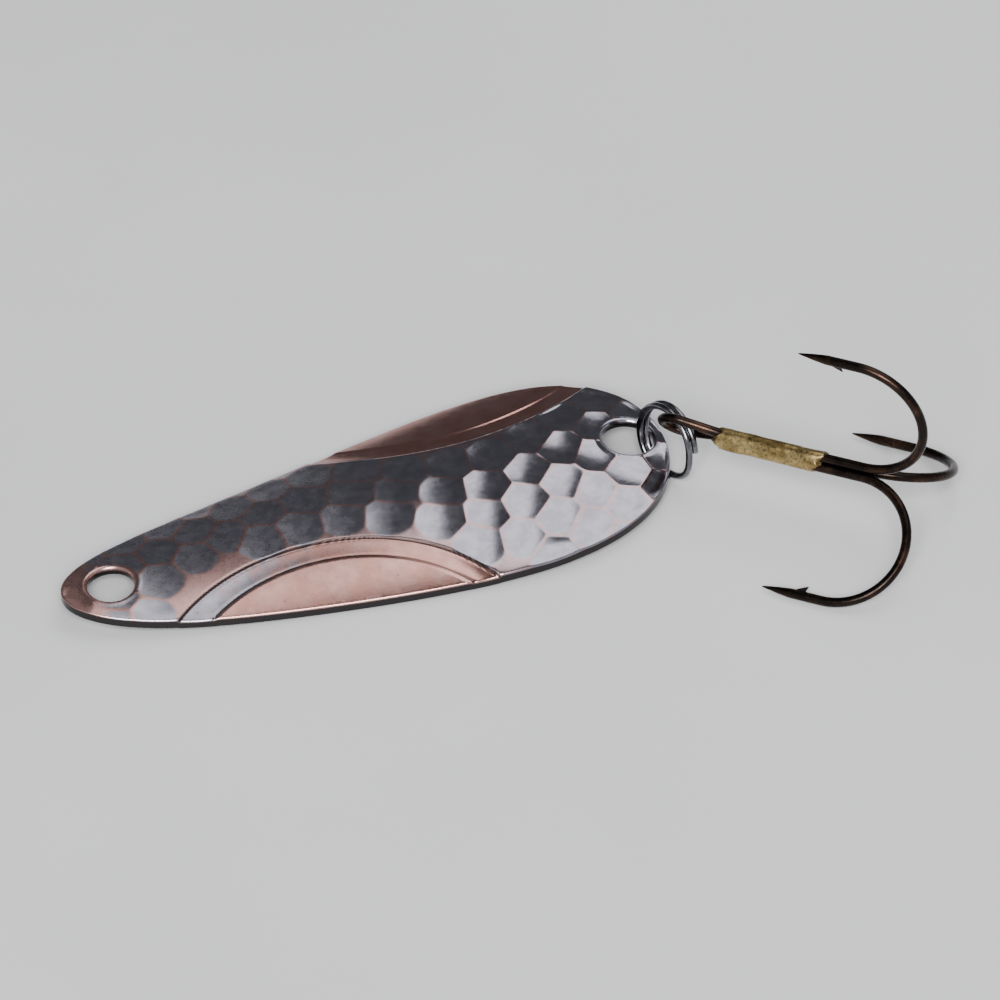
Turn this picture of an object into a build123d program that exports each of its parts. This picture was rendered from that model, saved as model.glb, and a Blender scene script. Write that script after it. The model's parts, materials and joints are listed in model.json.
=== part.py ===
from build123d import *
import os
from math import cos, pi, radians, sin, sqrt

# Hammered spoon lure: a cupped blade, a split ring through its tail hole and a brazed treble hook.
#
# Millimetres and degrees. The origin is the centre of the nose hole, half way through the blade. +X runs
# from the nose to the tail, +Z is up from the cupped side, and the lure lies on a level surface with its
# treble swung out to one side.

# ---------------------------------------------------------------- driving dimensions

# blade
BLADE_LENGTH = 45.0
BLADE_THICKNESS = 0.8
NOSE_HOLE_INSET = 3.6        # nose tip to hole centre
NOSE_HOLE_RADIUS = 1.65
TAIL_HOLE_INSET = 2.6        # tail tip to hole centre
TAIL_HOLE_RADIUS = 1.82
OUTLINE_WAVES = (8.5, -1.86, 0.64)      # teardrop outline: weights of sin(a), sin(2a), sin(3a)
OUTLINE_STEPS = 28           # points round the whole outline
CROWN_RISE = 3.83            # how the centre line climbs towards the tail, with the 2.5th power
CROWN_DROOP = 4.11           # how it falls again at the tail, with the 5th power
NOSE_CUP = 0.081             # 1 / radius of the cross-wise cup at the nose
CUP_EASE = 0.052             # how much flatter the cup is at the tail, as 1 / radius
SECTION_HALF_WIDTH = 9.6
SECTION_COUNT = 10
END_ALLOWANCE = 0.6          # the loft runs past both tips by this much

# split ring
RING_WIRE_RADIUS = 0.25
RING_RADIUS = 2.7            # to the centre of the wire
RING_CENTRE = (41.0, -2.18, 1.20)
RING_HEADING = -71.0         # direction of the ring's plane, from +X
RING_LEAN = 10.3
RING_TURN_GAP = 0.01
RING_STEP_HEADING = -30.0    # where the wire steps from one turn to the other
RING_STEP_SPAN = 80.0

# treble hook
HOOK_WIRE_RADIUS = 0.35
HOOK_WIRE_GAP = 0.02
BEND_RADIUS = 4.69           # to the centre of the wire
POINT_LEG = 4.45             # from the top of the bend to the tip
POINT_TAPER = 2.2
POINT_TIP_RADIUS = 0.04
BARB_BACK = 3.3              # barb tip, back from the point
BARB_LENGTH = 1.3
BARB_STAND = 0.42            # how far the barb stands off the wire
BARB_WIDTH = 0.3
BEND_START = (51.70, -12.95, 3.58)      # shank axis where the three bends start
SHANK_HEADING = -43.6
SHANK_SLOPE = 1.6
EYE_DISTANCE = 14.04         # bend start to the centre of the eye
EYE_RADIUS = 1.30            # to the centre of the wire
EYE_OPEN_ANGLE = 72.0        # where the wire leaves the eye, from the shank
EYE_BLEND_RADIUS = 2.2
EYE_STRAIGHT = 0.3           # straight wire between the blend and the hook's own shank
BRAZE_START = 10.7           # back from the bend start
BRAZE_END = 2.9
BRAZE_RADIUS = 0.86
BRAZE_EDGE = 0.25

os.makedirs("parts", exist_ok=True)


# ---------------------------------------------------------------- blade

NOSE_X = -NOSE_HOLE_INSET
TAIL_X = BLADE_LENGTH - NOSE_HOLE_INSET
TAIL_HOLE_X = TAIL_X - TAIL_HOLE_INSET


def half_width(angle):
    """Outline's offset from the centre line; angle is 0 at the nose tip and pi at the tail tip."""
    return sum(weight * sin((i + 1) * angle) for i, weight in enumerate(OUTLINE_WAVES))


def outline_x(angle):
    """Station along the blade for the same angle."""
    return NOSE_X + BLADE_LENGTH * (1 - cos(angle)) / 2


def crown_height(x):
    """Height of the top surface on the centre line."""
    s = max(x - NOSE_X, 0) / BLADE_LENGTH
    return BLADE_THICKNESS / 2 + CROWN_RISE * s**2.5 - CROWN_DROOP * s**5


def cup_radius(x):
    """Radius of the cross-wise arc of the top surface."""
    s = (x - NOSE_X) / BLADE_LENGTH
    return 1 / (NOSE_CUP - CUP_EASE * s)


section_start = NOSE_X - END_ALLOWANCE
section_pitch = (BLADE_LENGTH + 2 * END_ALLOWANCE) / (SECTION_COUNT - 1)
outline_angles = [2 * pi * i / OUTLINE_STEPS for i in range(OUTLINE_STEPS)]

with BuildPart() as spoon_blade:
    # cross sections: an arched strip, tightest at the nose and flattest at the tail
    for i in range(SECTION_COUNT):
        x = section_start + i * section_pitch
        crown = crown_height(x)
        radius = cup_radius(x)
        edge = crown - radius + sqrt(radius**2 - SECTION_HALF_WIDTH**2)
        with BuildSketch(Plane(origin=(x, 0, 0), x_dir=(0, 1, 0), z_dir=(1, 0, 0))):
            with BuildLine():
                top = ThreePointArc((-SECTION_HALF_WIDTH, edge), (0, crown), (SECTION_HALF_WIDTH, edge))
                bottom = ThreePointArc(
                    (-SECTION_HALF_WIDTH, edge - BLADE_THICKNESS),
                    (0, crown - BLADE_THICKNESS),
                    (SECTION_HALF_WIDTH, edge - BLADE_THICKNESS),
                )
                Line(top @ 0, bottom @ 0)
                Line(top @ 1, bottom @ 1)
            make_face()
    loft()
    # the teardrop outline, cut straight down
    with BuildSketch(Plane.XY.offset(-BLADE_LENGTH / 4)):
        with BuildLine():
            Spline(*[(outline_x(a), half_width(a)) for a in outline_angles], periodic=True)
        make_face()
    extrude(amount=BLADE_LENGTH / 2, mode=Mode.INTERSECT)
    # line hole at the nose and ring hole at the tail
    with Locations((0, 0, 0)):
        Hole(NOSE_HOLE_RADIUS)
    with Locations((TAIL_HOLE_X, 0, 0)):
        Hole(TAIL_HOLE_RADIUS)
spoon_blade.part.label = "spoon_blade"
export_step(spoon_blade.part, "parts/spoon_blade.step")


# ---------------------------------------------------------------- split ring

ring_out = Vector(cos(radians(RING_HEADING)), sin(radians(RING_HEADING)), 0)
ring_side = Vector(0, 0, 1).cross(ring_out)
ring_up = Vector(0, 0, cos(radians(RING_LEAN))) + ring_side * sin(radians(RING_LEAN))
ring_plane = Plane(origin=RING_CENTRE, x_dir=ring_out, z_dir=ring_out.cross(ring_up))
ring_axis = Axis(ring_plane.origin, ring_plane.z_dir)
turn_offset = RING_WIRE_RADIUS + RING_TURN_GAP / 2
step_half = RING_STEP_SPAN / 2


def ring_radial(angle):
    """Direction from the ring's centre at an angle round it."""
    return ring_plane.x_dir * cos(radians(angle)) + ring_plane.y_dir * sin(radians(angle))


with BuildPart() as split_ring:
    # two turns side by side, each short of a full circle by the span of the step
    for offset in (-turn_offset, turn_offset):
        start = ring_radial(RING_STEP_HEADING + step_half)
        with BuildSketch(Plane(origin=ring_plane.origin, x_dir=start, z_dir=start.cross(ring_plane.z_dir))):
            with Locations((RING_RADIUS, offset)):
                Circle(RING_WIRE_RADIUS)
        revolve(axis=ring_axis, revolution_arc=360 - RING_STEP_SPAN)
    # the step that joins them
    step_plane = Plane(
        origin=ring_plane.origin,
        x_dir=ring_radial(RING_STEP_HEADING - step_half),
        z_dir=ring_plane.z_dir,
    )
    with BuildLine() as step:
        helix = Edge.make_helix(
            pitch=2 * turn_offset * 360 / RING_STEP_SPAN,
            height=2 * turn_offset,
            radius=RING_RADIUS,
            center=(0, 0, -turn_offset),
        )
        add(step_plane.from_local_coords(helix))
    with BuildSketch(Plane(origin=step.line @ 0, z_dir=step.line % 0)):
        Circle(RING_WIRE_RADIUS)
    sweep()
    # round knuckles where the step meets each turn
    with Locations(step.line @ 0, step.line @ 1):
        Sphere(RING_WIRE_RADIUS)
split_ring.part.label = "split_ring"
export_step(split_ring.part, "parts/split_ring.step")


# ---------------------------------------------------------------- treble hook

shank_dir = Vector(
    cos(radians(SHANK_SLOPE)) * cos(radians(SHANK_HEADING)),
    cos(radians(SHANK_SLOPE)) * sin(radians(SHANK_HEADING)),
    sin(radians(SHANK_SLOPE)),
)
side_dir = shank_dir.cross(Vector(0, 0, 1)).normalized()
top_dir = side_dir.cross(shank_dir)
wire_pitch = 2 * HOOK_WIRE_RADIUS + HOOK_WIRE_GAP
bundle_radius = wire_pitch / sqrt(3)         # shank axis to the centre of each of the three wires


def hook_plane(index):
    """Plane of one hook: x along the shank, y out towards its point, origin at the bend start."""
    angle = radians(-120 * index)
    out = top_dir * cos(angle) + side_dir * sin(angle)
    return Plane(origin=BEND_START, x_dir=shank_dir, z_dir=shank_dir.cross(out))


top_hook = hook_plane(0)
far_hook = hook_plane(1)
near_hook = hook_plane(2)
eye_plane = Plane(
    origin=top_hook.origin - near_hook.y_dir * bundle_radius / 2,
    x_dir=shank_dir,
    z_dir=near_hook.y_dir,
)
bend_top = bundle_radius + 2 * BEND_RADIUS
taper_start = POINT_TAPER - POINT_LEG


def add_hook(plane, shank_length):
    """One hook in the open part: shank, round bend, straight leg, tapered point and barb."""
    with BuildLine(plane) as wire:
        shank = Line((-shank_length, bundle_radius), (0, bundle_radius))
        bend = ThreePointArc(shank @ 1, (BEND_RADIUS, bundle_radius + BEND_RADIUS), (0, bend_top))
        Line(bend @ 1, (taper_start, bend_top))
    with BuildSketch(Plane(origin=wire.line @ 0, z_dir=wire.line % 0)) as section:
        Circle(HOOK_WIRE_RADIUS)
    sweep(sections=section.sketch, path=wire.line)
    point_origin = plane.from_local_coords((taper_start - POINT_TAPER / 2, bend_top))
    with Locations(Plane(origin=point_origin, z_dir=-shank_dir).location):
        Cone(HOOK_WIRE_RADIUS, POINT_TIP_RADIUS, POINT_TAPER)
    # the barb stands off the inner side of the leg and leans away from the point
    barb_tip = (BARB_BACK - POINT_LEG, bend_top - HOOK_WIRE_RADIUS - BARB_STAND)
    with BuildSketch(plane) as barb:
        with BuildLine():
            Polyline(
                barb_tip,
                (barb_tip[0] - BARB_LENGTH, bend_top),
                (barb_tip[0] - BARB_WIDTH, bend_top),
                close=True,
            )
        make_face()
    extrude(barb.sketch, amount=BARB_WIDTH / 2, both=True)


# the eye's wire: round the back of the eye, then in to the shank on each side
eye_exit = radians(EYE_OPEN_ANGLE)
eye_back = -EYE_DISTANCE - EYE_RADIUS
eye_leave = (-EYE_DISTANCE + EYE_RADIUS * cos(eye_exit), EYE_RADIUS * sin(eye_exit))
closing_run = (eye_leave[1] - wire_pitch / 2) * sin(eye_exit) / cos(eye_exit)
merge_x = eye_leave[0] + closing_run
blend_length = EYE_BLEND_RADIUS * sin(pi / 2 - eye_exit) / (1 + cos(pi / 2 - eye_exit))
shank_start = -merge_x - blend_length - EYE_STRAIGHT

with BuildPart() as double_hook:
    add_hook(top_hook, shank_start)
    add_hook(far_hook, shank_start)
    with BuildLine(eye_plane) as eye:
        FilletPolyline(
            (-shank_start, wire_pitch / 2),
            (merge_x, wire_pitch / 2),
            eye_leave,
            radius=EYE_BLEND_RADIUS,
        )
        ThreePointArc(eye_leave, (eye_back, 0), (eye_leave[0], -eye_leave[1]))
        FilletPolyline(
            (eye_leave[0], -eye_leave[1]),
            (merge_x, -wire_pitch / 2),
            (-shank_start, -wire_pitch / 2),
            radius=EYE_BLEND_RADIUS,
        )
    with BuildSketch(Plane(origin=eye.line @ 0, z_dir=eye.line % 0)):
        Circle(HOOK_WIRE_RADIUS)
    sweep(path=eye.line)
double_hook.part.label = "double_hook"
export_step(double_hook.part, "parts/double_hook.step")

with BuildPart() as single_hook:
    add_hook(near_hook, BRAZE_START)
single_hook.part.label = "single_hook"
export_step(single_hook.part, "parts/single_hook.step")

braze_plane = Plane(
    origin=top_hook.origin - shank_dir * BRAZE_START,
    x_dir=top_hook.y_dir,
    z_dir=shank_dir,
)
with BuildPart() as braze:
    with BuildSketch(braze_plane):
        Circle(BRAZE_RADIUS)
    extrude(amount=BRAZE_START - BRAZE_END)
    chamfer(braze.edges(), BRAZE_EDGE)
    # the three wires run through the solder, and it doesn't fill the gap between them
    with BuildSketch(braze_plane):
        with PolarLocations(bundle_radius, 3):
            Circle(HOOK_WIRE_RADIUS)
        RegularPolygon(bundle_radius, 3)
    extrude(amount=BRAZE_START, mode=Mode.SUBTRACT)
braze.part.label = "braze"
export_step(braze.part, "parts/braze.step")
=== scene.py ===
"""Looks of the hammered spoon lure: blade relief, ring, treble hook, solder, studio and camera.

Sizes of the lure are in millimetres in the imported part's own frame, and its meshes are scaled to metres
when they are made. The studio's sizes are in metres and watts.
"""

import json
from math import cos, pi, radians, sin, sqrt, tan

import bmesh
import bpy
import numpy as np
from mathutils import Matrix, Quaternion, Vector
from mathutils.geometry import delaunay_2d_cdt


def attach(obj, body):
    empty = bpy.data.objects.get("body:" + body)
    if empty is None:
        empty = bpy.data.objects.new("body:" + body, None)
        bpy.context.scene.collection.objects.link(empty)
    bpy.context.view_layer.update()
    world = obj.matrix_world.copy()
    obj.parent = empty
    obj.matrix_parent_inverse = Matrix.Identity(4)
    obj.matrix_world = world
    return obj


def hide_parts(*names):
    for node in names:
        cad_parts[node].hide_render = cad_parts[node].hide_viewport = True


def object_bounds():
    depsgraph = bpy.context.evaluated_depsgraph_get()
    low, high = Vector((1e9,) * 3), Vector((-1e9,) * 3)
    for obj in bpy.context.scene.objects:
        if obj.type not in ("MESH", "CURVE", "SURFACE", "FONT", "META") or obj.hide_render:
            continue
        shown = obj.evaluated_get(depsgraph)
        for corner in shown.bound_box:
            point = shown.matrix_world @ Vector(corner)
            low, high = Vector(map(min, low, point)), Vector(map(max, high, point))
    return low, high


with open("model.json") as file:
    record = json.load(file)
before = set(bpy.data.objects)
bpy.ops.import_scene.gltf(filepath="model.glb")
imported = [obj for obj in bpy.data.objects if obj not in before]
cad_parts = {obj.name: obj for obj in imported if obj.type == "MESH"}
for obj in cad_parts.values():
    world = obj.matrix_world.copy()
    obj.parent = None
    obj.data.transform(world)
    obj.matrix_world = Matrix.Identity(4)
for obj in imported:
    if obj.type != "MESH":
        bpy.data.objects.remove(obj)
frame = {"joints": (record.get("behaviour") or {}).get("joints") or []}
cad_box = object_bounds()

MM = 0.001

# ---------------------------------------------------------------- sizes shared with the CAD part

NOSE_X = -3.6
BLADE_LENGTH = 45.0
BLADE_THICKNESS = 0.8
TAIL_X = NOSE_X + BLADE_LENGTH
NOSE_HOLE = ((0.0, 0.0), 1.65)
TAIL_HOLE = ((TAIL_X - 2.6, 0.0), 1.82)
OUTLINE_WAVES = (8.5, -1.86, 0.64)   # weights of the sine waves that make the half width
CROWN_RISE = 3.83                    # lift of the middle line, and its fall again at the tail
CROWN_DROOP = 4.11
CROWN_RISE_POWER = 2.5
CROWN_DROOP_POWER = 5
NOSE_CUP = 0.081                     # curvature across the blade at the nose, and its loss by the tail
CUP_EASE = 0.052

joints = {joint["name"]: joint for joint in frame["joints"]}
RING_CENTRE = Vector(joints["treble_swing"]["pos_m"]) / MM
RING_AXIS = Vector(joints["treble_swing"]["axis"]).normalized()
RING_RADIUS = 2.7
RING_WIRE_RADIUS = 0.25
TURN_OFFSET = 0.255          # each turn's centre line is this far from the ring's middle plane
STEP_START = -70.0           # degrees round the ring where the wire steps from one turn to the other
STEP_SPAN = 80.0
RING_STEP = 2.0
CUT_END_KEEP = 0.8           # share of the wire's radius left at a dulled end
CUT_END_LENGTH = 0.4         # share of the last step that a dulled end keeps

HOOK_WIRE_RADIUS = 0.35
HOOK_WIRE_PITCH = 0.72
BUNDLE_RADIUS = HOOK_WIRE_PITCH / sqrt(3)
BEND_RADIUS = 4.69
POINT_LEG = 4.45
POINT_TAPER = 2.2
POINT_TIP_RADIUS = 0.04
BARB_BACK = 3.3
BARB_LENGTH = 1.3
BARB_STAND = 0.42
BARB_WIDTH = 0.3
POINT_SWELL = 1.25           # the point tapers slowly at first
BARB_CURVE = 0.8
BARB_NARROWING = 0.8         # share of the barb's width that is gone at its tip
SHANK_STEPS = 20
BEND_STEPS = 48
LEG_STEPS = 8
POINT_STEPS = 24
BARB_STEPS = 8
BEND_START = Vector((51.70, -12.95, 3.58))
SHANK_HEADING = -43.6
SHANK_SLOPE = 1.6
EYE_DISTANCE = 14.04
EYE_RADIUS = 1.30
EYE_OPEN_ANGLE = radians(72.0)
EYE_BLEND_RADIUS = 2.2
EYE_BLEND_STEPS = 8
EYE_RUN_STEPS = 6
EYE_TURN_STEPS = 56
BRAZE_START = 10.7
BRAZE_END = 2.9
BRAZE_RADIUS = 0.86
BRAZE_SIDES = 72
BRAZE_ROWS = 110
BRAZE_PAST_START = 0.45      # the skin creeps this much further along the wires at each end
BRAZE_PAST_END = 0.1
RAGGED_START = ((0.18, 3, 1.0), (0.10, 7, 0.0))   # waves of the ends: height, number round, phase
RAGGED_END = ((0.32, 1, 2.2), (0.14, 5, 0.7))
SKIN_SUNK = 0.12             # the skin lies this deep between the wires
SKIN_OVER_WIRE = 0.09        # and this much higher over each wire
LUMP_SEED = 11
LUMP_WAVES = 26
LUMP_ROUND = (1, 7)          # waves round the sleeve, the second number left out
LUMP_ALONG = (0.4, 4.0)      # and along it, in radians a millimetre
LUMP_FALL = (0.4, 0.25)      # finer waves are lower: share for each wave round and along
LUMP_HEIGHT = 0.016
END_SINK = 0.3               # the ends sink onto the wires by this much, over this length
END_SINK_LENGTH = 0.34

# ---------------------------------------------------------------- small helpers


def smoothstep(low, high, value):
    """0 below low, 1 above high and a smooth rise between, for numbers or arrays."""
    t = np.clip((value - low) / (high - low), 0, 1)
    return t * t * (3 - 2 * t)


def add_mesh(name, vertices, faces, attributes=None):
    """A smooth-shaded mesh object from vertices in millimetres, with optional point attributes."""
    mesh = bpy.data.meshes.new(name)
    mesh.from_pydata([tuple(v) for v in np.asarray(vertices) * MM], [], faces)
    mesh.update()
    mesh.polygons.foreach_set("use_smooth", [True] * len(mesh.polygons))
    for key, values in (attributes or {}).items():
        layer = mesh.attributes.new(key, "FLOAT", "POINT")
        layer.data.foreach_set("value", np.asarray(values, dtype=np.float32))
    piece = bpy.data.objects.new(name, mesh)
    bpy.context.scene.collection.objects.link(piece)
    return piece


def tube(points, radii, sides=28):
    """Vertices and faces of a closed round wire that follows the points, with flat ends."""
    points = [Vector(p) for p in points]
    count = len(points)
    tangents = [(points[min(i + 1, count - 1)] - points[max(i - 1, 0)]).normalized() for i in range(count)]
    across = tangents[0].orthogonal().normalized()
    vertices = []
    for point, tangent, radius in zip(points, tangents, radii):
        across = (across - tangent * across.dot(tangent)).normalized()
        other = tangent.cross(across)
        for k in range(sides):
            turn = 2 * pi * k / sides
            vertices.append(point + (across * cos(turn) + other * sin(turn)) * radius)
    faces = []
    for i in range(count - 1):
        for k in range(sides):
            a = i * sides + k
            b = i * sides + (k + 1) % sides
            faces.append((a, b, b + sides, a + sides))
    faces.append(tuple(reversed(range(sides))))
    faces.append(tuple(range((count - 1) * sides, count * sides)))
    return vertices, faces


def joined(parts):
    """Several (vertices, faces) pairs as one."""
    vertices, faces = [], []
    for more_vertices, more_faces in parts:
        base = len(vertices)
        vertices.extend(more_vertices)
        faces.extend(tuple(index + base for index in face) for face in more_faces)
    return vertices, faces


# ---------------------------------------------------------------- blade surface

DENT_SEED = 7
DENT_ROWS = range(-4, 5)
DENT_COLUMNS = range(-2, 16)
DENT_PITCH = 3.08            # along the blade
DENT_ROW_PITCH = 2.62        # across it
DENT_ROW_SHIFT = 1.15        # each row starts this much further along than the one before
DENT_ROW_START = 0.5
DENT_RADIUS = 1.92
DENT_DEPTH = 0.19
NOSE_KEEP = 0.50             # share of that depth at the nose, where the marks are shallower
DENT_JITTER = 0.24           # most that a mark is off its place
DENT_UNEVEN = 0.022          # most that a mark is struck deeper or shallower
DENT_BLEND = 0.010           # softness of the ridge between two dents
RIDGE_HALF_WIDTH = 0.10      # copper left along a ridge
RIDGE_SPAN = (-0.3, 2.6)     # the copper turns to nickel between these many half widths off the ridge
ROW_WAVE_MID = 0.7           # the middle row winds between the two crescents
ROW_WAVE_HEIGHT = 2.1
ROW_WAVE_CREST = 14.4
ROW_WAVE_LENGTH = 27.0

NEAR_OUTER = ((12.6, -17.97), 16.2)       # circles of the crescents' lines: centre and radius
NEAR_INNER = ((12.9, -17.8), 14.34)
FAR_INNER = ((28.2, 20.3), 15.4)
FAR_OUTER = ((28.2, 20.85), 17.3)
STEP_DOWN = 0.13             # from the hammered field to the band
STEP_UP = 0.07               # from the band to the panel
STEP_WIDTH = 0.16
GROOVE_DEPTH = 0.05
GROOVE_HALF_WIDTH = 0.10
BAND_HOLLOW = 0.05           # the bands are slightly dished
BAND_LEAST = 0.3             # a band is taken to be at least this wide
NEAR_LINE_DEPTH = 0.6        # share of the grooves' depth in the near crescent's inner line
NEAR_LINE_SHADE = 0.9        # and share of their painted shade
EDGE_FADE = 1.3              # hammer marks grow shallower towards the outline over this distance
EDGE_KEEP = 0.45             # share of a mark's depth that is left at the outline
CRESCENT_CLEAR = 0.55        # a mark's middle stays this many radii off a crescent
FIELD_FADE = 0.12            # marks fade out over this distance before a crescent's line
HOLE_FLAT = 0.15             # no mark is struck nearer to a hole than this
HOLE_FADE = 0.60             # and marks are whole from here on
COPPER_LIP = (0.2, 0.5)      # the nose hole's copper lip turns to nickel between these distances
NOSE_KEEP_SPAN = (15, 36)    # marks grow to their whole depth between these distances from the nose
FAR_AWAY = 1e3

RIM_ROUND = 0.12             # rounding of the outline's edges
HOLE_ROUND = 0.42            # rounding of the holes' edges
WALL_FINISH = (0.45, 0.9)    # the top's finish turns into the wall's between these shares of a rounding
TOP_SPACING = 0.125          # size of the mesh's triangles on the top and on the back
BOTTOM_SPACING = 0.5
BORDER_CLEAR = 0.7           # no inner point is nearer to a border than this share of the spacing
OUTLINE_SAMPLES = 4000
BLOCK = 4000                 # inner points that are measured against the borders at one time
HOLE_SHARE = 0.995           # a triangle whose middle is inside this share of a hole's border is cut out
FILL_INSIDE = 1              # the triangulation's own number for: only inside the borders
MERGE_DISTANCE = 1e-9
ROUND_STEPS = 6
WALL_STEPS = 3
BACK_SHARE = 0.2             # how much of each dent shows as a bulge underneath


def half_width(angle):
    """Half the blade's width; the angle goes from 0 at the nose to pi at the tail."""
    return sum(weight * np.sin((i + 1) * angle) for i, weight in enumerate(OUTLINE_WAVES))


def crown_height(x):
    """Height of the top's middle line."""
    s = np.clip(x - NOSE_X, 0, None) / BLADE_LENGTH
    return BLADE_THICKNESS / 2 + CROWN_RISE * s**CROWN_RISE_POWER - CROWN_DROOP * s**CROWN_DROOP_POWER


def top_surface(x, y):
    """Smooth cupped surface that the relief is struck into."""
    radius = 1 / (NOSE_CUP - CUP_EASE * (x - NOSE_X) / BLADE_LENGTH)
    return crown_height(x) - radius + np.sqrt(radius**2 - y**2)


def dent_centres():
    """Staggered rows of hammer marks that wind between the crescents: x, y and extra height of each."""
    rng = np.random.default_rng(DENT_SEED)
    centres = []
    for row in DENT_ROWS:
        for column in DENT_COLUMNS:
            x = DENT_ROW_START + NOSE_X + column * DENT_PITCH + row * DENT_ROW_SHIFT
            wave = ROW_WAVE_HEIGHT * cos(2 * pi * (x - ROW_WAVE_CREST) / ROW_WAVE_LENGTH)
            y = ROW_WAVE_MID + wave + row * DENT_ROW_PITCH
            jitter = rng.uniform(-DENT_JITTER, DENT_JITTER, 2)
            centres.append((x + jitter[0], y + jitter[1], rng.uniform(-DENT_UNEVEN, DENT_UNEVEN)))
    return np.array(centres)


def inside_circle(x, y, circle):
    """How far a point is inside a circle; negative outside it."""
    (cx, cy), radius = circle
    return radius - np.hypot(x - cx, y - cy)


def from_outline(x, y):
    """Rough distance from the outline, measured across the blade."""
    angle = np.arccos(np.clip(1 - 2 * (x - NOSE_X) / BLADE_LENGTH, -1, 1))
    return np.clip(half_width(angle) - np.abs(y), 0, None)


def relief(x, y):
    """Height of the struck relief at points of the blade, and the masks that its finish follows."""
    centres = dent_centres()
    fields = (inside_circle(x, y, NEAR_OUTER), inside_circle(x, y, FAR_OUTER))
    inners = (inside_circle(x, y, NEAR_INNER), inside_circle(x, y, FAR_INNER))
    # a hammer mark is left out where its middle is on a crescent or close to it
    clearance = CRESCENT_CLEAR * DENT_RADIUS
    keep = [
        i for i, (cx, cy, _) in enumerate(centres)
        if max(inside_circle(cx, cy, NEAR_OUTER), inside_circle(cx, cy, FAR_OUTER)) < -clearance
    ]
    total = np.ones(len(x))
    lowest = np.full(len(x), FAR_AWAY)
    second = np.full(len(x), FAR_AWAY)
    for cx, cy, lift in centres[keep]:
        reach = np.hypot(x - cx, y - cy)
        bowl = DENT_DEPTH * ((reach / DENT_RADIUS) ** 2 - 1) + lift
        total += np.exp(-np.minimum(bowl, 3 * DENT_BLEND) / DENT_BLEND)
        second = np.minimum(second, np.maximum(lowest, bowl))
        lowest = np.minimum(lowest, bowl)
    heights = -DENT_BLEND * np.log(total)
    # rough distance from the ridge with the next mark, or from the mark's own rim
    slope = 2 * DENT_DEPTH / DENT_RADIUS**2
    from_ridge = np.minimum((second - lowest) / (slope * DENT_PITCH), -lowest / (slope * DENT_RADIUS))
    from_nose_hole = -inside_circle(x, y, NOSE_HOLE)
    nearest_hole = np.minimum(from_nose_hole, -inside_circle(x, y, TAIL_HOLE))
    field = np.maximum(*fields)
    heights *= 1 - smoothstep(-FIELD_FADE, 0.0, field)
    heights *= smoothstep(HOLE_FLAT, HOLE_FADE, nearest_hole)
    heights *= EDGE_KEEP + (1 - EDGE_KEEP) * smoothstep(0, EDGE_FADE, from_outline(x, y))
    heights *= NOSE_KEEP + (1 - NOSE_KEEP) * smoothstep(*NOSE_KEEP_SPAN, x - NOSE_X)
    dent = smoothstep(RIDGE_SPAN[0] * RIDGE_HALF_WIDTH, RIDGE_SPAN[1] * RIDGE_HALF_WIDTH, from_ridge)
    dent *= smoothstep(*COPPER_LIP, from_nose_hole)
    # crescents: a step down at the outer line and a small step up at the inner one
    panel = np.zeros(len(x))
    band = np.zeros(len(x))
    # mask of painted shade along the crescents' lines, standing in for their walls facing away from the
    # light
    groove_shade = np.zeros(len(x))
    for outer, inner in zip(fields, inners):
        heights -= STEP_DOWN * smoothstep(0, STEP_WIDTH, outer)
        heights += STEP_UP * smoothstep(0, STEP_WIDTH, inner)
        across = np.clip(outer / np.maximum(outer - inner, BAND_LEAST), 0, 1)
        heights -= BAND_HOLLOW * np.sin(pi * across) * (inner < 0)
        line = np.exp(-((outer - STEP_WIDTH / 2) / GROOVE_HALF_WIDTH) ** 2)
        heights -= GROOVE_DEPTH * line
        groove_shade = np.maximum(groove_shade, line)
        band = np.maximum(band, smoothstep(0, STEP_WIDTH, outer))
        panel = np.maximum(panel, smoothstep(0, STEP_WIDTH, inner))
    # the near crescent's inner line is sunk too, a little fainter than the outer one, and shade is painted
    # along it as along the outer lines
    near_line = np.exp(-((inners[0] + GROOVE_HALF_WIDTH) / GROOVE_HALF_WIDTH) ** 2)
    heights -= NEAR_LINE_DEPTH * GROOVE_DEPTH * near_line
    groove_shade = np.maximum(groove_shade, NEAR_LINE_SHADE * near_line)
    return heights, {"dent": dent, "band": band, "panel": panel, "groove_shade": groove_shade}


def outline_loop(spacing):
    """Points round the teardrop outline, evenly spaced, with their inward normals."""
    angles = np.linspace(0, 2 * pi, OUTLINE_SAMPLES, endpoint=False)
    x = NOSE_X + BLADE_LENGTH * (1 - np.cos(angles)) / 2
    y = half_width(angles)
    travelled = np.cumsum(np.hypot(np.diff(x, append=x[0]), np.diff(y, append=y[0])))
    length = travelled[-1]
    arc = np.insert(travelled[:-1], 0, 0)
    count = int(length / spacing)
    places = np.interp(np.arange(count) * length / count, arc, angles)
    x = NOSE_X + BLADE_LENGTH * (1 - np.cos(places)) / 2
    y = half_width(places)
    tx = np.roll(x, -1) - np.roll(x, 1)
    ty = np.roll(y, -1) - np.roll(y, 1)
    size = np.hypot(tx, ty)
    points = np.column_stack([x, y])
    normals = np.column_stack([ty / size, -tx / size])
    middle = np.array([(NOSE_X + TAIL_X) / 2, 0])
    if ((middle - points) * normals).sum() < 0:
        normals = -normals
    return points, normals


def hole_loop(hole, spacing):
    """Points round a hole, with normals that point into the metal."""
    (cx, cy), radius = hole
    count = int(2 * pi * (radius + HOLE_ROUND) / spacing)
    angles = np.arange(count) * 2 * pi / count
    normals = np.column_stack([np.cos(angles), np.sin(angles)])
    return np.array([cx, cy]) + radius * normals, normals


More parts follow.
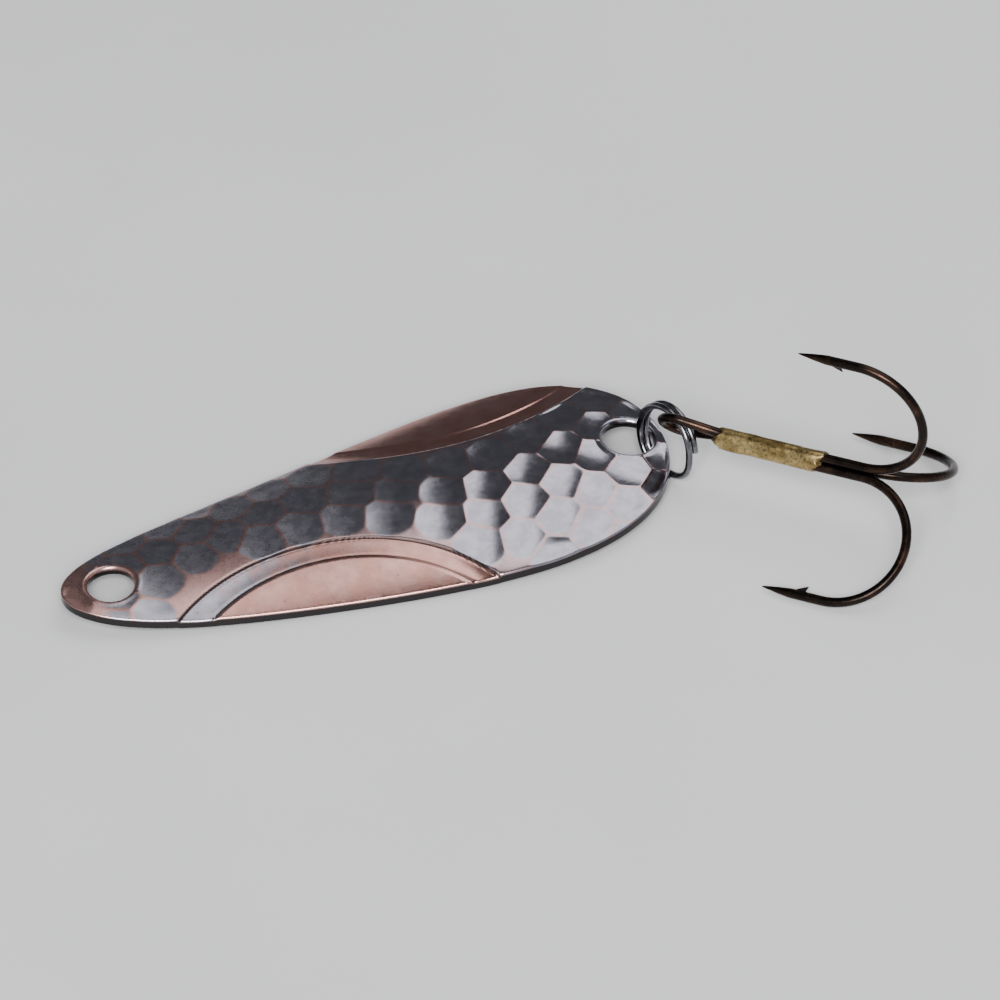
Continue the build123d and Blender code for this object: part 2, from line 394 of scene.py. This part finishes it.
def fill_loops(loops, spacing):
    """Triangles over the area inside the first loop and outside the others: points and faces."""
    outline = loops[0]
    low, high = outline.min(axis=0), outline.max(axis=0)
    row_pitch = spacing * sqrt(3) / 2
    grid = []
    for row, y in enumerate(np.arange(low[1], high[1], row_pitch)):
        across = np.arange(low[0] + (row % 2) * spacing / 2, high[0], spacing)
        grid.append(np.column_stack([across, np.full(len(across), y)]))
    grid = np.vstack(grid)
    border = np.vstack(loops)
    keep = np.ones(len(grid), bool)
    for start in range(0, len(grid), BLOCK):
        block = grid[start:start + BLOCK]
        gap = np.hypot(block[:, None, 0] - border[None, :, 0], block[:, None, 1] - border[None, :, 1])
        keep[start:start + BLOCK] = gap.min(axis=1) > BORDER_CLEAR * spacing
    # even-odd test against the outline
    inside = np.zeros(len(grid), bool)
    following = np.roll(outline, -1, axis=0)
    for (x1, y1), (x2, y2) in zip(outline, following):
        if y1 != y2:
            crosses = (grid[:, 1] > min(y1, y2)) & (grid[:, 1] <= max(y1, y2))
            at = x1 + (grid[:, 1] - y1) * (x2 - x1) / (y2 - y1)
            inside ^= crosses & (grid[:, 0] < at)
    keep &= inside
    for loop in loops[1:]:
        centre = loop.mean(axis=0)
        radius = np.hypot(*(loop - centre).T).max()
        keep &= np.hypot(*(grid - centre).T) > radius
    points = np.vstack([*loops, grid[keep]])
    edges, base = [], 0
    for loop in loops:
        count = len(loop)
        edges.extend((base + i, base + (i + 1) % count) for i in range(count))
        base += count
    result = delaunay_2d_cdt([Vector(p) for p in points], edges, [], FILL_INSIDE, MERGE_DISTANCE, False)
    flat = np.array([tuple(v) for v in result[0]])
    faces = []
    for face in result[2]:
        centre = flat[list(face)].mean(axis=0)
        in_hole = any(
            np.hypot(*(centre - loop.mean(axis=0))) < HOLE_SHARE * np.hypot(*(loop[0] - loop.mean(axis=0)))
            for loop in loops[1:]
        )
        if not in_hole:
            faces.append(tuple(face))
    return flat, faces


def quarter_round(radius):
    """Steps of a rounded edge, from the flat to the wall: (distance in from the wall, drop)."""
    turns = [pi / 2 * i / ROUND_STEPS for i in range(ROUND_STEPS + 1)]
    return [(radius * (1 - sin(turn)), radius * (1 - cos(turn))) for turn in turns]


def struck_top(flat):
    """Heights of the hammered top at points, and the masks there."""
    struck, masks = relief(flat[:, 0], flat[:, 1])
    return top_surface(flat[:, 0], flat[:, 1]) + struck, masks


def plain_back(flat):
    """Heights of the back at points, with the marks' faint bulges."""
    struck, _ = relief(flat[:, 0], flat[:, 1])
    return top_surface(flat[:, 0], flat[:, 1]) - BLADE_THICKNESS + BACK_SHARE * struck


def edge_rows(points, normals, rounding):
    """Rows round a border, from the top over its rounding and down the wall to the back.

    Each row is its points, their heights, their masks and its share of the wall's finish.
    """
    rows = []
    for inset, drop in quarter_round(rounding)[1:]:
        flat = points + normals * inset
        z, masks = struck_top(flat)
        rows.append((flat, z - drop, masks, float(smoothstep(*WALL_FINISH, drop / rounding))))
    upper, masks = struck_top(points)
    lower = plain_back(points)
    for i in range(1, WALL_STEPS):
        t = i / WALL_STEPS
        z = (upper - rounding) * (1 - t) + (lower + RIM_ROUND) * t
        rows.append((points, z, masks, 1.0))
    for inset, drop in reversed(quarter_round(RIM_ROUND)[1:]):
        flat = points + normals * inset * rounding / RIM_ROUND
        rows.append((flat, plain_back(flat) + drop, struck_top(flat)[1], 1.0))
    return rows


def strip(above, below):
    """Faces between two closed rows of vertices, given by their indices."""
    count = len(above)
    return [(above[i], below[i], below[(i + 1) % count], above[(i + 1) % count]) for i in range(count)]


def make_blade():
    """The blade as one closed mesh: struck top, smooth back, rounded edges and holes."""
    borders = [
        (*outline_loop(TOP_SPACING), RIM_ROUND),
        (*hole_loop(NOSE_HOLE, TOP_SPACING), HOLE_ROUND),
        (*hole_loop(TAIL_HOLE, TOP_SPACING), HOLE_ROUND),
    ]
    insets = [points + normals * rounding for points, normals, rounding in borders]
    flat_top, top_faces = fill_loops(insets, TOP_SPACING)
    flat_back, back_faces = fill_loops(insets, BOTTOM_SPACING)
    top_z, top_masks = struck_top(flat_top)
    vertices = [np.column_stack([flat_top, top_z]), np.column_stack([flat_back, plain_back(flat_back)])]
    masks = {key: [values, np.zeros(len(flat_back))] for key, values in top_masks.items()}
    masks["side"] = [np.zeros(len(flat_top)), np.ones(len(flat_back))]
    back_start = len(flat_top)
    faces = list(top_faces)
    faces.extend(tuple(back_start + i for i in reversed(face)) for face in back_faces)
    base = back_start + len(flat_back)
    loop_start = 0
    for points, normals, rounding in borders:
        count = len(points)
        above = range(loop_start, loop_start + count)
        for flat, z, row_masks, side in edge_rows(points, normals, rounding):
            below = range(base, base + count)
            vertices.append(np.column_stack([flat, z]))
            for key, values in row_masks.items():
                masks[key].append(values * (1 - side))
            masks["side"].append(np.full(count, side))
            faces.extend(strip(above, below))
            above = below
            base += count
        faces.extend(strip(above, range(back_start + loop_start, back_start + loop_start + count)))
        loop_start += count
    attributes = {key: np.concatenate(values) for key, values in masks.items()}
    blade = add_mesh("hammered_blade", np.vstack(vertices), faces, attributes)
    fix_normals(blade)
    return blade


def fix_normals(piece):
    """Turns every face of a closed mesh outwards."""
    shell = bmesh.new()
    shell.from_mesh(piece.data)
    bmesh.ops.recalc_face_normals(shell, faces=shell.faces)
    shell.to_mesh(piece.data)
    shell.free()


# ---------------------------------------------------------------- ring


def make_ring():
    """Split ring: nearly two turns of round wire side by side, with a step between them and cut ends."""
    out = Vector((RING_AXIS.y, -RING_AXIS.x, 0)).normalized()
    if out.y > 0:
        out = -out
    up = RING_AXIS.cross(out)
    first, last = STEP_START + STEP_SPAN, STEP_START + 720
    angles = np.arange(first, last + RING_STEP / 20, RING_STEP)
    step = smoothstep(STEP_START + 360, STEP_START + 360 + STEP_SPAN, angles)
    offsets = TURN_OFFSET * (2 * step - 1)
    points = []
    for angle, offset in zip(angles, offsets):
        radial = out * cos(radians(angle)) + up * sin(radians(angle))
        points.append(RING_CENTRE + radial * RING_RADIUS + RING_AXIS * offset)
    radii = np.full(len(points), RING_WIRE_RADIUS)
    # the cut ends are slightly dulled
    radii[0] = radii[-1] = CUT_END_KEEP * RING_WIRE_RADIUS
    points[0] = points[1] + (points[0] - points[1]) * CUT_END_LENGTH
    points[-1] = points[-2] + (points[-1] - points[-2]) * CUT_END_LENGTH
    vertices, faces = tube(points, radii)
    ring = add_mesh("split_ring_wire", vertices, faces)
    fix_normals(ring)
    return ring


# ---------------------------------------------------------------- treble hook

SHANK = Vector((
    cos(radians(SHANK_SLOPE)) * cos(radians(SHANK_HEADING)),
    cos(radians(SHANK_SLOPE)) * sin(radians(SHANK_HEADING)),
    sin(radians(SHANK_SLOPE)),
))
SHANK_SIDE = SHANK.cross(Vector((0, 0, 1))).normalized()
SHANK_TOP = SHANK_SIDE.cross(SHANK)


def hook_out(index):
    """Direction from the shank towards one hook's point: 0 the upper, 1 the far and 2 the near one."""
    angle = radians(-120 * index)
    return SHANK_TOP * cos(angle) + SHANK_SIDE * sin(angle)


def hook_path(out, start):
    """Centre line and radius of one hook, from its shank to its point."""
    top = BUNDLE_RADIUS + 2 * BEND_RADIUS
    straight = POINT_LEG - POINT_TAPER
    flat = [(-start + i * start / SHANK_STEPS, BUNDLE_RADIUS, HOOK_WIRE_RADIUS) for i in range(SHANK_STEPS)]
    for i in range(BEND_STEPS + 1):
        turn = pi * i / BEND_STEPS
        away = BUNDLE_RADIUS + BEND_RADIUS * (1 - cos(turn))
        flat.append((BEND_RADIUS * sin(turn), away, HOOK_WIRE_RADIUS))
    flat.extend((-straight * i / LEG_STEPS, top, HOOK_WIRE_RADIUS) for i in range(1, LEG_STEPS + 1))
    for i in range(1, POINT_STEPS + 1):
        t = i / POINT_STEPS
        radius = HOOK_WIRE_RADIUS + (POINT_TIP_RADIUS - HOOK_WIRE_RADIUS) * t**POINT_SWELL
        flat.append((-straight - POINT_TAPER * t, top, radius))
    return [(BEND_START + SHANK * x + out * y, radius) for x, y, radius in flat]


def hook_barb(out):
    """The barb: a thin blade that stands off the leg's inner side and leans back from the point."""
    side = SHANK.cross(out)
    root_y = BUNDLE_RADIUS + 2 * BEND_RADIUS
    tip_x = BARB_BACK - POINT_LEG
    stand = HOOK_WIRE_RADIUS + BARB_STAND
    vertices, faces = [], []
    for i in range(BARB_STEPS + 1):
        t = i / BARB_STEPS
        # the barb's two long edges run from its root on the wire to its tip
        front = (tip_x - BARB_LENGTH * (1 - t), root_y - stand * t**BARB_CURVE)
        back = (tip_x - BARB_WIDTH * (1 - t), root_y - stand * t)
        half = BARB_WIDTH / 2 * (1 - BARB_NARROWING * t)
        for (x, y), sign in ((front, 1), (back, 1), (back, -1), (front, -1)):
            vertices.append(BEND_START + SHANK * x + out * y + side * half * sign)
    for i in range(BARB_STEPS):
        for k in range(4):
            a = 4 * i + k
            b = 4 * i + (k + 1) % 4
            faces.append((a, b, b + 4, a + 4))
    faces.append((3, 2, 1, 0))
    faces.append(tuple(4 * BARB_STEPS + k for k in range(4)))
    return vertices, faces


def eye_path():
    """Centre line of the eye from one shank round to the other, and where it leaves them."""
    near = hook_out(2)
    across = near.cross(SHANK)
    middle = BEND_START - near * BUNDLE_RADIUS / 2
    half = HOOK_WIRE_PITCH / 2
    leave_x = -EYE_DISTANCE + EYE_RADIUS * cos(EYE_OPEN_ANGLE)
    leave_y = EYE_RADIUS * sin(EYE_OPEN_ANGLE)
    merge_x = leave_x + (leave_y - half) * tan(EYE_OPEN_ANGLE)
    reach = EYE_BLEND_RADIUS * tan((pi / 2 - EYE_OPEN_ANGLE) / 2)
    run = sqrt((merge_x - leave_x) ** 2 + (leave_y - half) ** 2)
    blend_x = merge_x + (leave_x - merge_x) / run * reach
    blend_y = half + (leave_y - half) / run * reach
    side = []
    # a short curve off the shank, then a straight run to the eye's round part
    for i in range(EYE_BLEND_STEPS + 1):
        t = i / EYE_BLEND_STEPS
        x = (merge_x + reach) * (1 - t) ** 2 + 2 * merge_x * t * (1 - t) + blend_x * t**2
        y = half * (1 - t) ** 2 + 2 * half * t * (1 - t) + blend_y * t**2
        side.append((x, y))
    for i in range(1, EYE_RUN_STEPS):
        t = i / EYE_RUN_STEPS
        side.append((blend_x + (leave_x - blend_x) * t, blend_y + (leave_y - blend_y) * t))
    sweep_angle = 2 * pi - 2 * EYE_OPEN_ANGLE
    loop = []
    for i in range(EYE_TURN_STEPS + 1):
        turn = EYE_OPEN_ANGLE + sweep_angle * i / EYE_TURN_STEPS
        loop.append((-EYE_DISTANCE + EYE_RADIUS * cos(turn), EYE_RADIUS * sin(turn)))
    flat = side + loop + [(x, -y) for x, y in reversed(side)]
    return [middle + SHANK * x + across * y for x, y in flat], -(merge_x + reach)


def make_double_hook():
    """The upper and far hooks are one wire, bent round at the eye."""
    eye, start = eye_path()
    upper = hook_path(hook_out(0), start)
    far = hook_path(hook_out(1), start)
    first, second = upper, far
    if (first[0][0] - eye[0]).length > (second[0][0] - eye[0]).length:
        first, second = far, upper
    points = [p for p, _ in reversed(first)] + eye[1:-1] + [p for p, _ in second]
    radii = [r for _, r in reversed(first)] + [HOOK_WIRE_RADIUS] * (len(eye) - 2) + [r for _, r in second]
    vertices, faces = joined([tube(points, radii), hook_barb(hook_out(0)), hook_barb(hook_out(1))])
    hook = add_mesh("double_hook_wire", vertices, faces)
    fix_normals(hook)
    return hook


def make_single_hook():
    """The third hook, soldered beside the other two."""
    path = hook_path(hook_out(2), BRAZE_START)
    vertices, faces = joined([tube([p for p, _ in path], [r for _, r in path]), hook_barb(hook_out(2))])
    hook = add_mesh("single_hook_wire", vertices, faces)
    fix_normals(hook)
    return hook


def ragged(waves, turn):
    """Unevenness of one end of the solder at an angle round it."""
    return sum(height * sin(number * turn + phase) for height, number, phase in waves)


def make_braze():
    """Solder sleeve: a lumpy skin drawn over the three wires, with ragged ends."""
    rng = np.random.default_rng(LUMP_SEED)
    # each wave: its number round the sleeve, its rate along it and the two phases
    waves = [
        (rng.integers(*LUMP_ROUND), rng.uniform(*LUMP_ALONG), rng.uniform(0, 2 * pi), rng.uniform(0, 2 * pi))
        for _ in range(LUMP_WAVES)
    ]
    vertices = []
    for i in range(BRAZE_ROWS + 1):
        t = i / BRAZE_ROWS
        for k in range(BRAZE_SIDES):
            turn = 2 * pi * k / BRAZE_SIDES
            start = -BRAZE_START - BRAZE_PAST_START + ragged(RAGGED_START, turn)
            end = -BRAZE_END - BRAZE_PAST_END + ragged(RAGGED_END, turn)
            along = start + (end - start) * t
            over_wire = 0.5 + 0.5 * cos(3 * turn)
            lumps = sum(
                sin(n * turn + a) * sin(f * along + b) / (1 + LUMP_FALL[0] * n + LUMP_FALL[1] * f)
                for n, f, a, b in waves
            )
            from_end = min(t, 1 - t) * (end - start)
            sink = END_SINK * (1 - float(smoothstep(0.0, END_SINK_LENGTH, from_end)))
            radius = BRAZE_RADIUS - SKIN_SUNK + SKIN_OVER_WIRE * over_wire + LUMP_HEIGHT * lumps - sink
            direction = SHANK_TOP * cos(turn) + SHANK_SIDE * sin(turn)
            vertices.append(BEND_START + SHANK * along + direction * radius)
    faces = []
    for i in range(BRAZE_ROWS):
        for k in range(BRAZE_SIDES):
            a = i * BRAZE_SIDES + k
            b = i * BRAZE_SIDES + (k + 1) % BRAZE_SIDES
            faces.append((a, b, b + BRAZE_SIDES, a + BRAZE_SIDES))
    faces.append(tuple(reversed(range(BRAZE_SIDES))))
    faces.append(tuple(range(BRAZE_ROWS * BRAZE_SIDES, (BRAZE_ROWS + 1) * BRAZE_SIDES)))
    sleeve = add_mesh("solder_sleeve", vertices, faces)
    fix_normals(sleeve)
    return sleeve


# ---------------------------------------------------------------- materials


class Nodes:
    """A material's node tree, with short calls for the nodes used here."""

    def __init__(self, name):
        self.material = bpy.data.materials.new(name)
        self.material.use_nodes = True
        self.tree = self.material.node_tree
        self.shader = self.tree.nodes["Principled BSDF"]
        self.coordinates = self.tree.nodes.new("ShaderNodeTexCoord").outputs["Object"]

    def link(self, source, target):
        """Joins an output to an input."""
        self.tree.links.new(source, target)

    def value(self, socket, source):
        """Sets a socket from a number or links it from an output."""
        if hasattr(source, "is_linked"):
            self.link(source, socket)
        else:
            socket.default_value = source

    def attribute(self, name):
        """One of the masks that the mesh carries."""
        node = self.tree.nodes.new("ShaderNodeAttribute")
        node.attribute_name = name
        return node.outputs["Fac"]

    def noise(self, scale, detail=4.0, roughness=0.55, distortion=0.0, stretch=None):
        """Clouds from 0 to 1, with about this many to a metre."""
        node = self.tree.nodes.new("ShaderNodeTexNoise")
        node.inputs["Scale"].default_value = scale
        node.inputs["Detail"].default_value = detail
        node.inputs["Roughness"].default_value = roughness
        node.inputs["Distortion"].default_value = distortion
        source = self.coordinates
        if stretch:
            mapping = self.tree.nodes.new("ShaderNodeMapping")
            mapping.inputs["Scale"].default_value = stretch
            self.link(source, mapping.inputs["Vector"])
            source = mapping.outputs["Vector"]
        self.link(source, node.inputs["Vector"])
        return node.outputs["Fac"]

    def cells(self, scale):
        """Distance from scattered points, with about this many to a metre."""
        node = self.tree.nodes.new("ShaderNodeTexVoronoi")
        node.inputs["Scale"].default_value = scale
        self.link(self.coordinates, node.inputs["Vector"])
        return node.outputs["Distance"]

    def span(self, source, low, high, to_low=0.0, to_high=1.0):
        """Maps low..high to to_low..to_high, smoothly and clamped."""
        node = self.tree.nodes.new("ShaderNodeMapRange")
        node.interpolation_type = "SMOOTHSTEP"
        self.link(source, node.inputs["Value"])
        node.inputs["From Min"].default_value = low
        node.inputs["From Max"].default_value = high
        node.inputs["To Min"].default_value = to_low
        node.inputs["To Max"].default_value = to_high
        return node.outputs["Result"]

    def math(self, operation, a, b):
        """Two numbers or outputs, added, multiplied and so on."""
        node = self.tree.nodes.new("ShaderNodeMath")
        node.operation = operation
        node.use_clamp = operation in ("MULTIPLY", "MAXIMUM", "MINIMUM")
        self.value(node.inputs[0], a)
        self.value(node.inputs[1], b)
        return node.outputs["Value"]

    def mix(self, factor, a, b):
        """Colour mix; a and b are colours or outputs."""
        node = self.tree.nodes.new("ShaderNodeMix")
        node.data_type = "RGBA"
        self.value(node.inputs[0], factor)
        for socket, source in ((node.inputs[6], a), (node.inputs[7], b)):
            self.value(socket, source if hasattr(source, "is_linked") else (*source, 1.0))
        return node.outputs[2]

    def bump(self, height, distance, strength=1.0, normal=None):
        """A normal bumped by an output; the distance is in millimetres."""
        node = self.tree.nodes.new("ShaderNodeBump")
        node.inputs["Strength"].default_value = strength
        node.inputs["Distance"].default_value = distance * MM
        self.link(height, node.inputs["Height"])
        if normal:
            self.link(normal, node.inputs["Normal"])
        return node.outputs["Normal"]

    def along(self):
        """How far along the lure a point is, in metres from the nose hole's centre."""
        node = self.tree.nodes.new("ShaderNodeSeparateXYZ")
        self.link(self.coordinates, node.inputs[0])
        return node.outputs[0]

    def finish(self, colour, roughness, metallic=1.0, normal=None):
        """Sets the shader's inputs and gives back the finished material."""
        self.value(self.shader.inputs["Base Color"], colour)
        self.value(self.shader.inputs["Roughness"], roughness)
        self.shader.inputs["Metallic"].default_value = metallic
        if normal:
            self.link(normal, self.shader.inputs["Normal"])
        return self.material


def blade_finish():
    """Satin nickel in the hammer marks, rose copper on ridges and crescents, painted shade in the lines."""
    n = Nodes("blade_plating")
    x = n.along()
    silver = (0.45, 0.43, 0.49)
    silver_dark = (0.36, 0.345, 0.40)
    copper = (0.60, 0.31, 0.265)
    copper_pale = (0.66, 0.38, 0.335)
    copper_dark = (0.26, 0.12, 0.09)
    # painted shade that darkens the crescents' lines
    painted_line_shade = (0.030, 0.020, 0.018)
    under = (0.040, 0.036, 0.037)
    # hammer marks: nickel with soft clouding
    cloud = n.span(n.noise(900, 5), 0.35, 0.65)
    nickel = n.mix(cloud, silver_dark, silver)
    rose = n.mix(n.span(n.noise(500, 4), 0.35, 0.7), copper, copper_pale)
    # ridges keep the copper; a little noise makes their width uneven
    ridge_noise = n.span(n.noise(2600, 3), 0.3, 0.7, -0.2, 0.2)
    marks = n.span(n.math("ADD", n.attribute("dent"), ridge_noise), 0.2, 0.8)
    nose_rim = n.span(x, -1.6 * MM, -0.6 * MM)
    marks = n.math("MULTIPLY", marks, nose_rim)
    # towards the tail the plating covers more of the ridges
    covered = n.span(x, 0.0, 30.0 * MM, 0.18, 0.60)
    colour = n.mix(marks, n.mix(covered, rose, nickel), nickel)
    # band of each crescent: nickel shows through near its nose end
    worn = n.span(n.noise(700, 4, 0.6), 0.3, 0.7, -3.0 * MM, 3.0 * MM)
    nose_end = n.span(n.math("ADD", x, worn), 6.0 * MM, 17.0 * MM)
    band_colour = n.mix(nose_end, nickel, rose)
    colour = n.mix(n.attribute("band"), colour, band_colour)
    colour = n.mix(n.attribute("panel"), colour, rose)
    # small dark pits and darker clouds on the plain copper
    pits = n.span(n.cells(760), 0.055, 0.10, 1.0, 0.0)
    sparse = n.span(n.noise(420, 2), 0.46, 0.54)
    pits = n.math("MULTIPLY", n.math("MULTIPLY", pits, sparse), n.attribute("band"))
    colour = n.mix(n.math("MULTIPLY", pits, 0.9), colour, copper_dark)
    tarnish = n.math("MULTIPLY", n.span(n.noise(260, 5, 0.6), 0.5, 0.78), 0.16)
    colour = n.mix(tarnish, colour, copper_dark)
    # painted shade: the crescents' lines are darkened in the colour, standing in for their walls facing away
    # from the light
    colour = n.mix(n.span(n.attribute("groove_shade"), 0.35, 0.8, 0.0, 0.93), colour, painted_line_shade)
    colour = n.mix(n.attribute("side"), colour, under)
    # satin grain, and fine hammer-face scratches
    grain = n.noise(9000, 3)
    scratches = n.noise(1500, 6, 0.7, 0.6, (1.0, 5.0, 1.0))
    normal = n.bump(grain, 0.0015)
    normal = n.bump(scratches, 0.0022, 1.0, normal)
    normal = n.bump(n.math("MULTIPLY", pits, -1.0), 0.03, 1.0, normal)
    # satin at the nose and on the crescents, brighter polish towards the tail
    satin = n.span(n.noise(1400, 5), 0.3, 0.7, 0.24, 0.31)
    rough = n.math("SUBTRACT", satin, n.span(x, 12.0 * MM, 30.0 * MM, 0.0, 0.13))
    return n.finish(colour, rough, 1.0, normal)


def ring_finish():
    """Polished dark nickel wire with fine draw lines."""
    n = Nodes("ring_steel")
    nickel_dark = (0.13, 0.13, 0.14)
    nickel = (0.30, 0.30, 0.32)
    colour = n.mix(n.span(n.noise(1300, 4), 0.35, 0.7), nickel_dark, nickel)
    rough = n.span(n.noise(2500, 4), 0.3, 0.7, 0.10, 0.24)
    return n.finish(colour, rough, 1.0, n.bump(n.noise(6000, 3), 0.004))


def hook_finish():
    """Dark bronzed wire: nearly black, with brown where the finish is thin."""
    n = Nodes("hook_bronze")
    nearly_black = (0.020, 0.015, 0.013)
    brown = (0.070, 0.038, 0.026)
    thin = n.span(n.noise(520, 5, 0.6), 0.40, 0.75)
    colour = n.mix(thin, nearly_black, brown)
    rough = n.span(n.noise(3000, 4), 0.3, 0.7, 0.22, 0.36)
    return n.finish(colour, rough, 1.0, n.bump(n.noise(5200, 4), 0.003))


def braze_finish():
    """Rough brass solder with dark flux specks."""
    n = Nodes("braze_brass")
    brass_dark = (0.27, 0.18, 0.065)
    brass = (0.52, 0.39, 0.17)
    flux = (0.050, 0.038, 0.022)
    colour = n.mix(n.span(n.noise(900, 4), 0.3, 0.75), brass_dark, brass)
    specks = n.span(n.noise(6500, 5, 0.7), 0.50, 0.62)
    clouds = n.span(n.noise(1100, 5, 0.65), 0.55, 0.72)
    dark = n.math("MULTIPLY", n.math("MAXIMUM", specks, clouds), 0.72)
    colour = n.mix(dark, colour, flux)
    rough = n.span(n.noise(3000, 4), 0.3, 0.7, 0.26, 0.40)
    normal = n.bump(n.noise(2600, 5, 0.65), 0.016)
    return n.finish(colour, rough, 1.0, normal)


def floor_finish():
    """Plain pale grey, very slightly clouded."""
    n = Nodes("studio_floor")
    grey = (0.74, 0.74, 0.75)
    pale_grey = (0.78, 0.78, 0.785)
    colour = n.mix(n.span(n.noise(30, 3), 0.3, 0.7), grey, pale_grey)
    return n.finish(colour, roughness=0.55, metallic=0.0)


# ---------------------------------------------------------------- the object

hook_material = hook_finish()
pieces = [
    (make_blade(), "blade", "spoon_blade", "blade_plating", blade_finish()),
    (make_ring(), "ring", "split_ring", "ring_steel", ring_finish()),
    (make_double_hook(), "treble", "double_hook", "hook_bronze", hook_material),
    (make_single_hook(), "treble", "single_hook", "hook_bronze", hook_material),
    (make_braze(), "treble", "braze", "braze_brass", braze_finish()),
]
for piece, body, node, slot_name, finish in pieces:
    piece.data.materials.append(finish)
    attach(piece, body)
    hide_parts(node)

# ---------------------------------------------------------------- studio

FLOOR_Z = cad_box[0].z
FLOOR_HALF = 0.7
DIM_SIDE = (0.226, 0.695, 0.682)    # direction that the level top of the blade mirrors to the camera
DIM_FROM = 50.0                     # degrees from there at which the room begins to grow paler
PALE_FROM = 85.0
DIM_STRENGTH = 0.34
PALE_STRENGTH = 1.7
ROOM_COLOUR = (0.30, 0.31, 0.33, 1)

OVERHEAD_PLACE = (0.295, 0.145, 0.44)
OVERHEAD_TARGET = (0.295, 0.145, 0.0)
OVERHEAD_SIZE = (0.40, 0.52)
OVERHEAD_POWER = 1.25
OVERHEAD_TURN = radians(-33)
KEY_PLACE = (-0.16, -0.52, 0.52)
KEY_TARGET = (0.025, 0.0, 0.0)
KEY_SIZE = (0.34, 0.34)
KEY_POWER = 7.0

CAMERA_TARGET = Vector((28.89, -0.38, -1.75)) * MM
CAMERA_DISTANCE = 0.639
CAMERA_TURN = radians(-17.94)       # to the nose's side of a view straight across the blade
CAMERA_ELEVATION = radians(42.86)
CAMERA_ROLL = radians(3.2)
CAMERA_LENS = 324                   # lens and sensor width in millimetres
CAMERA_SENSOR = 36
CAMERA_CLIP = (0.05, 5)


def make_floor():
    """A plain level square that the lure lies on."""
    mesh = bpy.data.meshes.new("floor")
    corners = [(-1, -1), (1, -1), (1, 1), (-1, 1)]
    mesh.from_pydata([(a * FLOOR_HALF, b * FLOOR_HALF, FLOOR_Z) for a, b in corners], [], [(0, 1, 2, 3)])
    floor = bpy.data.objects.new("floor", mesh)
    bpy.context.scene.collection.objects.link(floor)
    mesh.materials.append(floor_finish())
    return floor


def add_softbox(name, place, target, size, power, turn=0.0):
    """An area light at a place, aimed at a target and turned about its own axis, in metres and watts."""
    lamp = bpy.data.lights.new(name, "AREA")
    lamp.shape = "RECTANGLE"
    lamp.size, lamp.size_y = size
    lamp.energy = power
    light = bpy.data.objects.new(name, lamp)
    light.location = place
    light.rotation_mode = "QUATERNION"
    aim = (Vector(target) - Vector(place)).to_track_quat("-Z", "Y")
    light.rotation_quaternion = aim @ Quaternion((0, 0, 1), turn)
    bpy.context.scene.collection.objects.link(light)


def make_camera():
    """The photograph's view: a long lens, 43 degrees above the floor, turned 18 degrees from the blade."""
    away = Vector((
        sin(CAMERA_TURN) * cos(CAMERA_ELEVATION),
        -cos(CAMERA_TURN) * cos(CAMERA_ELEVATION),
        sin(CAMERA_ELEVATION),
    ))
    camera = bpy.data.cameras.new("camera")
    camera.lens = CAMERA_LENS
    camera.sensor_width = CAMERA_SENSOR
    camera.clip_start, camera.clip_end = CAMERA_CLIP
    holder = bpy.data.objects.new("camera", camera)
    right = (-away).cross(Vector((0, 0, 1))).normalized()
    up = right.cross(-away)
    tilted_up = up * cos(CAMERA_ROLL) + right * sin(CAMERA_ROLL)
    tilted_right = (-away).cross(tilted_up)
    turn = Matrix((tilted_right, tilted_up, away)).transposed().to_4x4()
    holder.matrix_world = Matrix.Translation(CAMERA_TARGET + away * CAMERA_DISTANCE) @ turn
    bpy.context.scene.collection.objects.link(holder)
    bpy.context.scene.camera = holder


def make_surroundings():
    """Room light: dim on the side that the blade mirrors to the camera, and paler behind the camera."""
    world = bpy.data.worlds.new("studio")
    world.use_nodes = True
    tree = world.node_tree
    coordinates = tree.nodes.new("ShaderNodeTexCoord").outputs["Generated"]
    toward_dim = tree.nodes.new("ShaderNodeVectorMath")
    toward_dim.operation = "DOT_PRODUCT"
    toward_dim.inputs[1].default_value = DIM_SIDE
    tree.links.new(coordinates, toward_dim.inputs[0])
    ramp = tree.nodes.new("ShaderNodeMapRange")
    ramp.interpolation_type = "SMOOTHSTEP"
    ramp.inputs["From Min"].default_value = cos(radians(DIM_FROM))
    ramp.inputs["From Max"].default_value = cos(radians(PALE_FROM))
    ramp.inputs["To Min"].default_value = DIM_STRENGTH
    ramp.inputs["To Max"].default_value = PALE_STRENGTH
    tree.links.new(toward_dim.outputs["Value"], ramp.inputs["Value"])
    background = tree.nodes["Background"]
    background.inputs["Color"].default_value = ROOM_COLOUR
    tree.links.new(ramp.outputs["Result"], background.inputs["Strength"])
    bpy.context.scene.world = world


make_camera()
make_floor()
add_softbox("overhead", OVERHEAD_PLACE, OVERHEAD_TARGET, OVERHEAD_SIZE, OVERHEAD_POWER, OVERHEAD_TURN)
add_softbox("front_key", KEY_PLACE, KEY_TARGET, KEY_SIZE, KEY_POWER)
make_surroundings()
